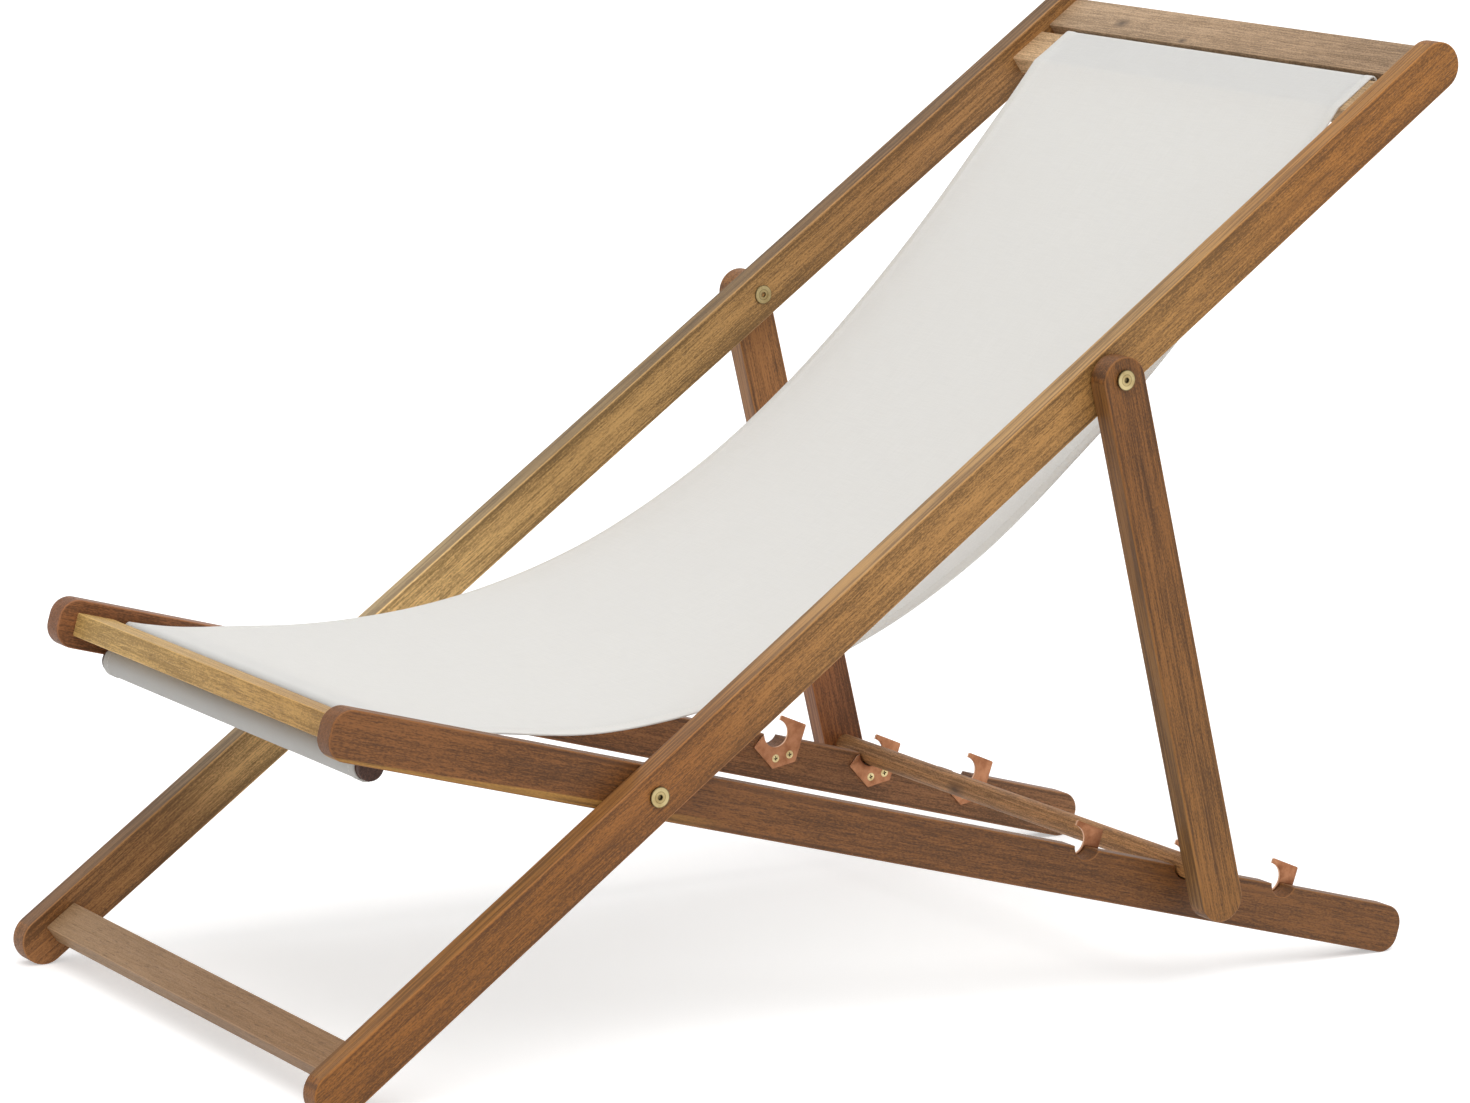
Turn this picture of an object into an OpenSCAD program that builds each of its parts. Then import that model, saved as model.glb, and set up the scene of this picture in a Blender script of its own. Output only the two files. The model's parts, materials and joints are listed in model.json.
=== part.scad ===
/* [Overall] */
// Width over the prop legs
overall_w = 600; // [480:1:760]
// Angle between the back rails and the seat rails
open_angle = 51; // [40:0.5:60]

/* [Back frame] */
// Crossing pivot to the top end of a back rail
back_above = 964; // [800:1:1160]
// Crossing pivot to the foot end of a back rail
back_below = 373; // [320:1:460]
// Gap between the top end and the top board
top_inset = 8; // [8:1:40]
// Width of the top board
top_board_w = 40; // [25:1:55]
// Slot between the top board and the sling board
top_slot = 10; // [3:0.5:14]
// Width of the sling board
sling_board_w = 40; // [30:1:60]
// Gap between the foot end and the foot board
foot_inset = 29; // [24:1:60]
// Width of the foot board
foot_board_w = 32; // [20:1:50]
// Thickness of the three back frame boards
back_board_t = 18; // [14:1:20]

/* [Seat frame] */
// Crossing pivot to the front end of a seat rail
seat_front = 292; // [265:1:400]
// Crossing pivot to the rear end of a seat rail
seat_rear = 805; // [760:1:960]
// Corner radius of the seat rail ends
seat_end_r = 17; // [10:0.5:20]
// Gap between the front end and the front board
front_inset = 16; // [10:1:40]
// Width of the front board
front_board_w = 35; // [25:1:45]
// Slot between the front board and the inner board
front_slot = 12; // [6:1:14]
// Width of the inner board
inner_board_w = 38; // [25:1:50]
// Thickness of the two seat frame boards
seat_board_t = 20; // [14:1:22]

/* [Timber] */
// Thickness of every rail and prop leg
bar_t = 21; // [16:1:26]
// Width of the back rails and seat rails
bar_w = 42; // [36:1:50]
// Width of the prop legs
prop_w = 41; // [30:1:50]
// Diameter of the prop rod
rod_d = 20; // [16:1:24]
// Depth of the boards and the rod in their mortises
tenon_l = 12; // [8:1:14]
// Shoulder of a tenon on all four sides
tenon_shoulder = 4; // [2:0.5:6]
// Gap between one frame and the next
frame_gap = 1.5; // [1.5:0.1:4]

/* [Prop] */
// Crossing pivot to the prop pivot along the back rail
prop_pivot = 528; // [480:1:600]
// Length of a prop leg above its pivot
prop_above = 19; // [18:1:30]
// Length of a prop leg below the rod
prop_below = 40; // [24:1:60]

/* [Hooks] */
// Crossing pivot to the middle hook along the seat rail
hook_middle = 554.5; // [500:0.5:600]
// Distance between hooks
hook_pitch = 109; // [90:1:115]
// Height of the hook recess centre over the rail centre line
hook_rise = 23.5; // [20:0.5:28]
// Play of the rod in its recess
hook_play = 2.8; // [1:0.1:4]
// Thickness of a hook plate
plate_t = 2; // [1.5:0.1:3]
// Diameter of the hook screws
screw_d = 4; // [3:0.5:5]
// Diameter of the hook screw heads
screw_head_d = 7.5; // [6:0.5:9]
// Length of a hook screw
screw_l = 16; // [10:1:18]

/* [Pivot hardware] */
// Diameter of the bolt heads and nut flanges
head_d = 17; // [13:0.5:22]
// Thickness of a bolt head
head_t = 2.2; // [1.5:0.1:3]
// Thickness of a nut flange
flange_t = 1.5; // [1:0.1:3]
// Diameter of the nut sleeve
sleeve_d = 8; // [7:0.5:10]
// Diameter of the bolt shank
shank_d = 6; // [4:0.5:6.5]
// Hexagon socket across its flats
socket_af = 4; // [3:0.5:5]
// Diameter of the washers
washer_d = 19; // [14:0.5:24]

/* [Sling] */
// Space between each side of the cloth and the seat rail beside it
sling_side = 10; // [3:1:60]
// Thickness of the cloth
cloth_t = 1.4; // [1:0.1:2]
// Curve radius at the lowest point of the hanging cloth
sling_curve = 650; // [560:5:1200]
// Diameter of the two sling bars
sling_bar_d = 23; // [16:1:26]
// Space between each end of a sling bar and the seat rail beside it
sling_bar_side = 4; // [1:1:50]

/* [Hidden] */
$fn = 64;

run_gap = 0.2;      // side play beside a face that turns
run_fit = 0.05;     // radial play of a sleeve in a hole that turns on it
soft_gap = 0.3;     // cloth to timber
seat_touch = 0.3;   // rod to the bottom of its recess
cut = 1;            // how far a cut runs past a face

// Distances of the faces from the middle plane, from the outside in
prop_out = overall_w / 2;
prop_in = prop_out - bar_t;
back_out = prop_in - frame_gap;
back_in = back_out - bar_t;
seat_out = back_in - frame_gap;
seat_in = seat_out - bar_t;

// Angles that put the rounded feet of both frames on one floor
foot_arm = back_below - bar_w / 2;
rear_arm = seat_rear - seat_end_r;
rear_drop = bar_w / 2 - seat_end_r;
lever_along = rear_arm + foot_arm * cos(open_angle);
lever_across = rear_drop - foot_arm * sin(open_angle);
seat_angle = asin(rear_drop / norm([lever_along, lever_across])) - atan2(lever_across, lever_along);
back_angle = open_angle - seat_angle;

// The crossing pivot over the middle of the footprint
pivot_z = foot_arm * sin(back_angle) + bar_w / 2;
front_y = -foot_arm * cos(back_angle) - bar_w / 2;
top_y = (back_above - bar_w / 2) * cos(back_angle) + bar_w / 2;
rear_y = rear_arm * cos(seat_angle) + rear_drop * sin(seat_angle) + seat_end_r;
pivot_y = -(front_y + max(top_y, rear_y)) / 2;

// Points of the side view, from the crossing pivot
function along_seat(s, n) = [s * cos(seat_angle) + n * sin(seat_angle), -s * sin(seat_angle) + n * cos(seat_angle)];
function along_back(s, n) = [s * cos(back_angle) - n * sin(back_angle), s * sin(back_angle) + n * cos(back_angle)];

// Hooks and the rod at rest in the middle one
recess_r = rod_d / 2 + hook_play;
rod_shift = (hook_play - seat_touch) * sqrt(0.5);
hooks = [hook_middle - hook_pitch, hook_middle, hook_middle + hook_pitch];
rod_at = along_seat(hook_middle + rod_shift, hook_rise - rod_shift);
prop_top_at = along_back(prop_pivot, 0);
prop_reach = norm(rod_at - prop_top_at);
prop_angle = atan2(rod_at.x - prop_top_at.x, prop_top_at.y - rod_at.y);

// Boards, as [start, end] along their rails
top_board = [back_above - top_inset - top_board_w, back_above - top_inset];
sling_board = [top_board[0] - top_slot - sling_board_w, top_board[0] - top_slot];
foot_board = [-back_below + foot_inset, -back_below + foot_inset + foot_board_w];
front_board = [-seat_front + front_inset, -seat_front + front_inset + front_board_w];
inner_board = [front_board[1] + front_slot, front_board[1] + front_slot + inner_board_w];

// Sling: bars behind the slots, cloth flat on two boards and a hanging curve between them
sling_half = seat_in - sling_side;
sling_bar_half = seat_in - sling_bar_side;
front_bar = [front_board[1] + front_slot / 2, -seat_board_t / 2 - soft_gap - cloth_t - sling_bar_d / 2];
top_bar = [sling_board[1] + top_slot / 2, -back_board_t / 2 - soft_gap - cloth_t - sling_bar_d / 2];
seat_lift = seat_board_t / 2 + soft_gap + cloth_t / 2;
back_lift = back_board_t / 2 + soft_gap + cloth_t / 2;
hem_r = sling_bar_d / 2 + cloth_t;
function sinh(v) = (exp(v) - exp(-v)) / 2;
function cosh(v) = (exp(v) + exp(-v)) / 2;
function asinh(v) = ln(v + sqrt(v * v + 1));
hang_from = along_seat(inner_board[1] + soft_gap, seat_lift);
hang_to = along_back(sling_board[0] - soft_gap, back_lift);
hang_span = hang_to.x - hang_from.x;
hang_low = (hang_from.x + hang_to.x) / 2 - sling_curve
    * asinh((hang_to.y - hang_from.y) / (2 * sling_curve * sinh(hang_span / (2 * sling_curve))));
function hang_z(y) = hang_from.y
    + sling_curve * (cosh((y - hang_low) / sling_curve) - cosh((hang_from.x - hang_low) / sling_curve));
function hang(y0, y1, steps) = [for (i = [0 : steps]) let (y = y0 + (y1 - y0) * i / steps) [y, hang_z(y)]];
bend_front = -60;   // the cloth in front of here follows the seat frame
bend_back = 40;     // the cloth behind here follows the back frame

// Colours
rail_c = [0.53, 0.36, 0.20];
prop_c = [0.48, 0.33, 0.22];
board_c = [0.66, 0.52, 0.35];
copper_c = [0.72, 0.45, 0.33];
brass_c = [0.82, 0.72, 0.45];
cloth_c = [0.88, 0.87, 0.84];

// ---- Places ----
module at_crossing() {
    translate([0, pivot_y, pivot_z])
        children();
}

// Frames of reference: X across, Y along the timber, Z out of its top edge
module on_seat() {
    at_crossing()
        rotate([-seat_angle, 0, 0])
            children();
}

module on_back() {
    at_crossing()
        rotate([back_angle, 0, 0])
            children();
}

module on_prop() {
    at_crossing()
        translate([0, prop_top_at.x, prop_top_at.y])
            rotate([prop_angle - 90, 0, 0])
                children();
}

// One side of the chair, side = -1 left, 1 right
module on_side(side) {
    if (side > 0)
        children();
    else
        mirror([1, 0, 0])
            children();
}

// ---- Shapes ----
// Side view outline extruded along X from one distance to another
module across(x0, x1) {
    translate([x0, 0, 0])
        rotate([90, 0, 90])
            linear_extrude(x1 - x0)
                children();
}

// Round bar along X
module pin(r, x0, x1) {
    translate([x0, 0, 0])
        rotate([0, 90, 0])
            cylinder(r = r, h = x1 - x0);
}

// Outline of a bar with rounded corners of radius r at both ends
module bar_outline(y0, y1, w, r) {
    translate([y0 + r, -w / 2])
        square([y1 - y0 - 2 * r, w]);
    if (w > 2 * r)
        translate([y0, -w / 2 + r])
            square([y1 - y0, w - 2 * r]);
    for (y = [y0 + r, y1 - r], z = [r - w / 2, w / 2 - r])
        translate([y, z])
            circle(r);
}

// Board between two rails, with a tenon at each end
module board(span, w, t) {
    translate([-span, w[0], -t / 2])
        cube([2 * span, w[1] - w[0], t]);
    tenon(w, t, span + tenon_l);
}

module tenon(w, t, reach) {
    translate([-reach, w[0] + tenon_shoulder, -t / 2 + tenon_shoulder])
        cube([2 * reach, w[1] - w[0] - 2 * tenon_shoulder, t - 2 * tenon_shoulder]);
}

// ---- Seat frame ----
module seat_rail(side) {
    color(rail_c)
        on_seat()
            difference() {
                on_side(side)
                    across(seat_in, seat_out)
                        bar_outline(-seat_front, seat_rear, bar_w, seat_end_r);
                tenon(front_board, seat_board_t, seat_in + tenon_l);
                tenon(inner_board, seat_board_t, seat_in + tenon_l);
                on_side(side) {
                    pin(sleeve_d / 2 + run_fit, seat_in - cut, seat_out + cut);
                    for (s = hooks)
                        translate([0, s, hook_rise])
                            pin(recess_r, seat_in - cut, seat_out + cut);
                    each_screw()
                        pin(screw_d / 2, seat_in - cut, seat_in + screw_l - plate_t);
                }
            }
}

module front_board() {
    color(board_c)
        on_seat()
            board(seat_in, front_board, seat_board_t);
}

module inner_board() {
    color(board_c)
        on_seat()
            board(seat_in, inner_board, seat_board_t);
}

// ---- Hooks ----
screw_front = [6, -22.5];       // from the recess centre, along and across the rail
screw_rear = [20, -16.5];
plate_corner_r = 1.5;
plate_outline = [
    [5.5, -32.5], [28, -22], [30, 13.5], [1, 17.5], [0.5, 9], [-9, -2],
    [-14.5, -6], [-20, -16.5]
];

// Corner i of an outline, replaced by an arc of radius r
function corner_arc(p, i, r) =
    let (
        n = len(p),
        here = p[i],
        u = unit(p[(i + n - 1) % n] - here),
        v = unit(p[(i + 1) % n] - here),
        half = acos(u * v) / 2,
        centre = here + unit(u + v) * r / sin(half),
        from = here + u * r / tan(half) - centre,
        to = here + v * r / tan(half) - centre,
        turn = atan2(from.x * to.y - from.y * to.x, from * to)
    )
    [for (k = [0 : 4]) centre + turned(from, turn * k / 4)];
function unit(v) = v / norm(v);
function turned(v, a) = [v.x * cos(a) - v.y * sin(a), v.x * sin(a) + v.y * cos(a)];
function rounded(p, r) = [for (i = [0 : len(p) - 1]) each corner_arc(p, i, r)];

module each_screw(s = hooks) {
    for (h = s, at = [screw_front, screw_rear])
        translate([0, h + at.x, hook_rise + at.y])
            children();
}

module hook(side, s) {
    color(copper_c)
        on_seat()
            on_side(side)
                difference() {
                    across(seat_in - plate_t, seat_in)
                        translate([s, hook_rise])
                            difference() {
                                polygon(rounded(plate_outline, plate_corner_r));
                                circle(recess_r);
                            }
                    each_screw([s])
                        translate([seat_in - plate_t, 0, 0])
                            screw_cone(run_fit);
                    each_screw([s])
                        pin(screw_d / 2 + run_fit, seat_in - plate_t - cut, seat_in + cut);
                }
}

// Countersunk head, its face at X = 0
module screw_cone(play) {
    rotate([0, 90, 0])
        cylinder(r1 = screw_head_d / 2 + play, r2 = screw_d / 2 + play, h = plate_t);
}

module screw() {
    slot_w = 1.1;
    slot_deep = 1.4;
    difference() {
        union() {
            translate([seat_in - plate_t, 0, 0])
                screw_cone(0);
            pin(screw_d / 2, seat_in - plate_t + cut, seat_in + screw_l - plate_t);
        }
        for (a = [20, 110])
            translate([seat_in - plate_t - cut, 0, 0])
                rotate([a, 0, 0])
                    translate([0, -screw_d / 2, -slot_w / 2])
                        cube([cut + slot_deep, screw_d, slot_w]);
    }
}

module hook_screws() {
    color(brass_c)
        on_seat()
            for (side = [-1, 1])
                on_side(side)
                    each_screw()
                        screw();
}

// ---- Back frame ----
module back_rail(side) {
    color(rail_c)
        on_back()
            difference() {
                on_side(side)
                    across(back_in, back_out)
                        bar_outline(-back_below, back_above, bar_w, bar_w / 2);
                tenon(top_board, back_board_t, back_in + tenon_l);
                tenon(sling_board, back_board_t, back_in + tenon_l);
                tenon(foot_board, back_board_t, back_in + tenon_l);
                on_side(side) {
                    pin(sleeve_d / 2 + run_fit, back_in - cut, back_out + cut);
                    translate([0, prop_pivot, 0])
                        pin(sleeve_d / 2 + run_fit, back_in - cut, back_out + cut);
                }
            }
}

module top_board() {
    color(board_c)
        on_back()
            board(back_in, top_board, back_board_t);
}

module sling_board() {
    color(board_c)
        on_back()
            board(back_in, sling_board, back_board_t);
}

module foot_board() {
    color(board_c)
        on_back()
            board(back_in, foot_board, back_board_t);
}

// ---- Prop frame ----
module prop_leg(side) {
    color(prop_c)
        on_prop()
            difference() {
                on_side(side)
                    across(prop_in, prop_out)
                        bar_outline(-prop_above, prop_reach + prop_below, prop_w, prop_w / 2);
                on_side(side)
                    pin(sleeve_d / 2 + run_fit, prop_in - cut, prop_out + cut);
                translate([0, prop_reach, 0])
                    pin(rod_d / 2, -prop_in - tenon_l, prop_in + tenon_l);
            }
}

module prop_rod() {
    color(prop_c)
        on_prop()
            translate([0, prop_reach, 0])
                pin(rod_d / 2, -prop_in - tenon_l, prop_in + tenon_l);
}

// ---- Pivot hardware ----
// Bolt with its head on an outer face and its shank in the sleeve of the nut
module bolt(inner, outer) {
    difference() {
        union() {
            pin(head_d / 2, outer, outer + head_t);
            pin(shank_d / 2, inner + bar_t / 2, outer + cut);
        }
        socket(outer + head_t - socket_af / 2, outer + head_t + cut);
    }
}

// Sleeve nut with its flange on an inner face
module nut(inner, outer) {
    difference() {
        union() {
            pin(head_d / 2, inner - flange_t, inner);
            pin(sleeve_d / 2, inner - cut, outer - cut);
        }
        pin(shank_d / 2, inner + socket_af / 2, outer);
        socket(inner - flange_t - cut, inner + socket_af / 2);
    }
}

module socket(x0, x1) {
    translate([x0, 0, 0])
        rotate([0, 90, 0])
            cylinder(d = socket_af / cos(30), h = x1 - x0 + cut / 2, $fn = 6);
}

module washer(x0, x1) {
    difference() {
        pin(washer_d / 2, x0, x1);
        pin(sleeve_d / 2 + 2 * run_fit, x0 - cut, x1 + cut);
    }
}

// Crossing: seat rail inside, back rail outside, all riding on the back rail
module crossing(side) {
    color(brass_c)
        on_back()
            on_side(side)
                children();
}

module crossing_bolt(side) {
    crossing(side)
        bolt(seat_in - run_gap, back_out);
}

module crossing_nut(side) {
    crossing(side)
        nut(seat_in - run_gap, back_out);
}

module crossing_washer(side) {
    crossing(side)
        washer(seat_out + run_gap, back_in);
}

// Prop pivot: back rail inside, prop leg outside, all riding on the back rail
module at_prop_pivot(side) {
    color(brass_c)
        on_back()
            on_side(side)
                translate([0, prop_pivot, 0])
                    children();
}

module prop_bolt(side) {
    at_prop_pivot(side)
        bolt(back_in, prop_out + run_gap);
}

module prop_nut(side) {
    at_prop_pivot(side)
        nut(back_in, prop_out);
}

module prop_washer(side) {
    at_prop_pivot(side)
        washer(back_out, prop_in - run_gap);
}

// ---- Sling ----
// Side view of a strip of cloth along a line of points
module strip(points) {
    n = len(points);
    normals = [for (i = [0 : n - 1]) turned(unit(points[min(i + 1, n - 1)] - points[max(i - 1, 0)]), 90)];
    polygon(concat(
        [for (i = [0 : n - 1]) points[i] + normals[i] * cloth_t / 2],
        [for (i = [n - 1 : -1 : 0]) points[i] - normals[i] * cloth_t / 2]
    ));
}

// Cloth along a line of points, seen from the side and as wide as the sling
module cloth(points) {
    color(cloth_c)
        at_crossing()
            across(-sling_half, sling_half)
                strip(points);
}

// The same with a hem round a sling bar at its end
module hemmed_cloth(points, bar) {
    color(cloth_c)
        at_crossing()
            across(-sling_half, sling_half)
                difference() {
                    union() {
                        strip(points);
                        translate(bar)
                            circle(hem_r);
                    }
                    translate(bar)
                        circle(sling_bar_d / 2 + run_fit);
                }
}

module sling_seat() {
    down = along_seat(front_bar.x, front_bar.y + hem_r - cloth_t / 2);
    corner = along_seat(front_bar.x, seat_lift);
    hemmed_cloth(
        concat([down, corner], hang(hang_from.x, bend_front, 14)),
        along_seat(front_bar.x, front_bar.y)
    );
}

module sling_bend() {
    cloth(hang(bend_front, bend_back, 10));
}

module sling_back() {
    down = along_back(top_bar.x, top_bar.y + hem_r - cloth_t / 2);
    corner = along_back(top_bar.x, back_lift);
    hemmed_cloth(
        concat(hang(bend_back + soft_gap, hang_to.x, 40), [corner, down]),
        along_back(top_bar.x, top_bar.y)
    );
}

module sling_bar_front() {
    color(prop_c)
        on_seat()
            translate([0, front_bar.x, front_bar.y])
                pin(sling_bar_d / 2, -sling_bar_half, sling_bar_half);
}

module sling_bar_top() {
    color(prop_c)
        on_back()
            translate([0, top_bar.x, top_bar.y])
                pin(sling_bar_d / 2, -sling_bar_half, sling_bar_half);
}

seat_rail(-1);  // seat_rail_left
seat_rail(1);  // seat_rail_right
front_board();
inner_board();
hook(-1, hooks[0]);  // hook_left_front
hook(-1, hooks[1]);  // hook_left_middle
hook(-1, hooks[2]);  // hook_left_rear
hook(1, hooks[0]);  // hook_right_front
hook(1, hooks[1]);  // hook_right_middle
hook(1, hooks[2]);  // hook_right_rear
hook_screws();
back_rail(-1);  // back_rail_left
back_rail(1);  // back_rail_right
top_board();
sling_board();
foot_board();
prop_leg(-1);  // prop_leg_left
prop_leg(1);  // prop_leg_right
prop_rod();
crossing_bolt(-1);  // crossing_bolt_left
crossing_bolt(1);  // crossing_bolt_right
crossing_nut(-1);  // crossing_nut_left
crossing_nut(1);  // crossing_nut_right
crossing_washer(-1);  // crossing_washer_left
crossing_washer(1);  // crossing_washer_right
prop_bolt(-1);  // prop_bolt_left
prop_bolt(1);  // prop_bolt_right
prop_nut(-1);  // prop_nut_left
prop_nut(1);  // prop_nut_right
prop_washer(-1);  // prop_washer_left
prop_washer(1);  // prop_washer_right
sling_seat();
sling_bend();
sling_back();
sling_bar_front();
sling_bar_top();
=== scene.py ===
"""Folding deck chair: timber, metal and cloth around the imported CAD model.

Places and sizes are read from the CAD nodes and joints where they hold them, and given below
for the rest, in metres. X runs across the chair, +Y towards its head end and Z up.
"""
import json
import math

import bmesh
import bpy
import numpy as np
from mathutils import Matrix, Vector


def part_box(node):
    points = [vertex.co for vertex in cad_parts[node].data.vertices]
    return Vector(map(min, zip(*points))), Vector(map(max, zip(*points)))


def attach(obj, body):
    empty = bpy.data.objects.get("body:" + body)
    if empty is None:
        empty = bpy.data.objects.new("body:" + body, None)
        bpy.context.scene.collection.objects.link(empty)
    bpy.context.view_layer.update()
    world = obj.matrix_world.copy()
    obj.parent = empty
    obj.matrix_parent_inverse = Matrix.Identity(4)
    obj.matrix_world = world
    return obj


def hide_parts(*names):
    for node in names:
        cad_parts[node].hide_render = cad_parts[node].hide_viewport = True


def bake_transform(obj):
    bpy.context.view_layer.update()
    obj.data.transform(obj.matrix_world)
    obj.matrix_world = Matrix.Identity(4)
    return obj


MM = 0.001
RING_BLUR = 0.15 * MM   # soft border of a turned ring on a bolt face

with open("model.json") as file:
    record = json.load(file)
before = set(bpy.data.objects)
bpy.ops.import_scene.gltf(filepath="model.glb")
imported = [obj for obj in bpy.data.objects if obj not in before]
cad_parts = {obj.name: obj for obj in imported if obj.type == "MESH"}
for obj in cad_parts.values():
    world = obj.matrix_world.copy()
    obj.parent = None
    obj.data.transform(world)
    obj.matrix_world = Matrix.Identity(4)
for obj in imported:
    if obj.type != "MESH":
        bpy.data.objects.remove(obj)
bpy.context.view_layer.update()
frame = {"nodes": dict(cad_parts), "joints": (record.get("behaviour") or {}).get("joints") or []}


# ---- Camera ----
LENS = 133.5            # mm on a 36 mm sensor
CAMERA_AZIMUTH = 57.802
CAMERA_ELEVATION = 10.597
CAMERA_ROLL = 1.039     # the horizon falls to the left by this much
CAMERA_FROM_CROSSING = Vector((3.8732, -2.1971, 0.9875))


def joint_place(name):
    return Vector(next(j for j in frame["joints"] if j["name"] == name)["pos_m"])


crossing = joint_place("back_lift")
prop_pivot = joint_place("prop_swing")


def make_camera():
    a, e, roll = (math.radians(v) for v in (CAMERA_AZIMUTH, CAMERA_ELEVATION, CAMERA_ROLL))
    back = Vector((math.sin(a) * math.cos(e), -math.cos(a) * math.cos(e), math.sin(e)))
    level = Vector((0, 0, 1)).cross(back).normalized()
    upright = back.cross(level)
    right = level * math.cos(roll) + upright * math.sin(roll)
    up = upright * math.cos(roll) - level * math.sin(roll)
    data = bpy.data.cameras.new("camera")
    data.lens = LENS
    data.clip_start, data.clip_end = 0.1, 100
    camera = bpy.data.objects.new("camera", data)
    turn = Matrix((right, up, back)).transposed().to_4x4()
    camera.matrix_world = Matrix.Translation(crossing + CAMERA_FROM_CROSSING) @ turn
    bpy.context.scene.collection.objects.link(camera)
    bpy.context.scene.camera = camera


make_camera()


# ---- Frames of reference ----
class Place:
    """Local axes of a timber frame: x across, s along the timber, n out of its top edge."""

    def __init__(self, origin, along):
        self.origin = Vector((0, origin.y, origin.z))
        self.along = Vector((0, along.y, along.z)).normalized()
        self.out = Vector((1, 0, 0)).cross(self.along)

    def point(self, x, s, n):
        return Vector((x, 0, 0)) + self.origin + self.along * s + self.out * n

    def local(self, point):
        d = point - self.origin
        return Vector((point.x, d.dot(self.along), d.dot(self.out)))

    def box(self, node):
        """Lowest and highest (x, s, n) of a CAD node."""
        points = np.array([self.local(v.co) for v in frame["nodes"][node].data.vertices])
        return points.min(0), points.max(0)


def middle(node):
    low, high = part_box(node)
    return (low + high) / 2


back_place = Place(crossing, prop_pivot - crossing)
seat_place = Place(crossing, middle("hook_left_rear") - middle("hook_left_front"))
prop_place = Place(prop_pivot, middle("prop_rod") - prop_pivot)


# ---- Materials ----
def srgb(r, g, b):
    """Scene colour of an 8-bit sRGB one."""
    def linear(v):
        v /= 255
        return v / 12.92 if v <= 0.04045 else ((v + 0.055) / 1.055) ** 2.4
    return (linear(r), linear(g), linear(b), 1)


def scaled(colour, k):
    return tuple(min(1, c * k) for c in colour[:3]) + (1,)


class Nodes:
    """Short calls for building a material's node tree."""

    def __init__(self, name):
        self.material = bpy.data.materials.new(name)
        self.material.use_nodes = True
        self.tree = self.material.node_tree
        self.tree.nodes.clear()
        self.output = self.tree.nodes.new("ShaderNodeOutputMaterial")
        self.shader = self.tree.nodes.new("ShaderNodeBsdfPrincipled")
        self.link(self.shader.outputs[0], self.output.inputs[0])

    def link(self, a, b):
        self.tree.links.new(a, b)

    def put(self, socket, value):
        if isinstance(value, bpy.types.NodeSocket):
            self.link(value, socket)
        else:
            socket.default_value = value

    def node(self, kind, **inputs):
        made = self.tree.nodes.new("ShaderNode" + kind)
        for name, value in inputs.items():
            self.put(made.inputs[name.replace("_", " ")], value)
        return made

    def facing_x(self):
        """How far the surface faces across the chair, 0 to 1."""
        geometry = self.tree.nodes.new("ShaderNodeNewGeometry")
        return self.math("ABSOLUTE", self.split(geometry.outputs["Normal"])[0])

    def open_air(self, distance):
        """1 in the open and less in a recess, used as painted shade."""
        made = self.node("AmbientOcclusion", Distance=distance)
        made.samples = 6
        return made.outputs["AO"]

    def attribute(self, name):
        made = self.tree.nodes.new("ShaderNodeAttribute")
        made.attribute_name = name
        return made

    def math(self, operation, a, b=0.0, c=None):
        made = self.tree.nodes.new("ShaderNodeMath")
        made.operation = operation
        self.put(made.inputs[0], a)
        self.put(made.inputs[1], b)
        if c is not None:
            self.put(made.inputs[2], c)
        return made.outputs[0]

    def vector(self, operation, a, b=(0, 0, 0)):
        made = self.tree.nodes.new("ShaderNodeVectorMath")
        made.operation = operation
        self.put(made.inputs[0], a)
        self.put(made.inputs[1], b)
        return made.outputs["Value"] if operation == "LENGTH" else made.outputs[0]

    def combine(self, x, y, z):
        made = self.tree.nodes.new("ShaderNodeCombineXYZ")
        for socket, value in zip(made.inputs, (x, y, z)):
            self.put(socket, value)
        return made.outputs[0]

    def split(self, vector):
        made = self.tree.nodes.new("ShaderNodeSeparateXYZ")
        self.link(vector, made.inputs[0])
        return made.outputs

    def noise(self, vector, scale=1.0, detail=2.0, roughness=0.5, distortion=0.0):
        made = self.tree.nodes.new("ShaderNodeTexNoise")
        self.put(made.inputs["Vector"], vector)
        made.inputs["Scale"].default_value = scale
        made.inputs["Detail"].default_value = detail
        made.inputs["Roughness"].default_value = roughness
        made.inputs["Distortion"].default_value = distortion
        return made.outputs[0]

    def noise_line(self, w, detail=2.0, roughness=0.5):
        made = self.tree.nodes.new("ShaderNodeTexNoise")
        made.noise_dimensions = "1D"
        self.put(made.inputs["W"], w)
        made.inputs["Scale"].default_value = 1
        made.inputs["Detail"].default_value = detail
        made.inputs["Roughness"].default_value = roughness
        return made.outputs[0]

    def spread(self, value, low, high, to_low=0.0, to_high=1.0):
        """value from low to high, mapped to the second pair and held there."""
        made = self.tree.nodes.new("ShaderNodeMapRange")
        self.put(made.inputs["Value"], value)
        made.inputs["From Min"].default_value = low
        made.inputs["From Max"].default_value = high
        made.inputs["To Min"].default_value = to_low
        made.inputs["To Max"].default_value = to_high
        made.interpolation_type = "SMOOTHSTEP"
        return made.outputs[0]

    def mix(self, factor, a, b, kind="MIX"):
        made = self.tree.nodes.new("ShaderNodeMix")
        made.data_type = "RGBA"
        made.blend_type = kind
        self.put(made.inputs[0], factor)
        self.put(made.inputs[6], a)
        self.put(made.inputs[7], b)
        return made.outputs[2]

    def bump(self, height, distance, strength=1.0):
        made = self.tree.nodes.new("ShaderNodeBump")
        self.put(made.inputs["Height"], height)
        made.inputs["Distance"].default_value = distance
        made.inputs["Strength"].default_value = strength
        return made.outputs[0]


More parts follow.
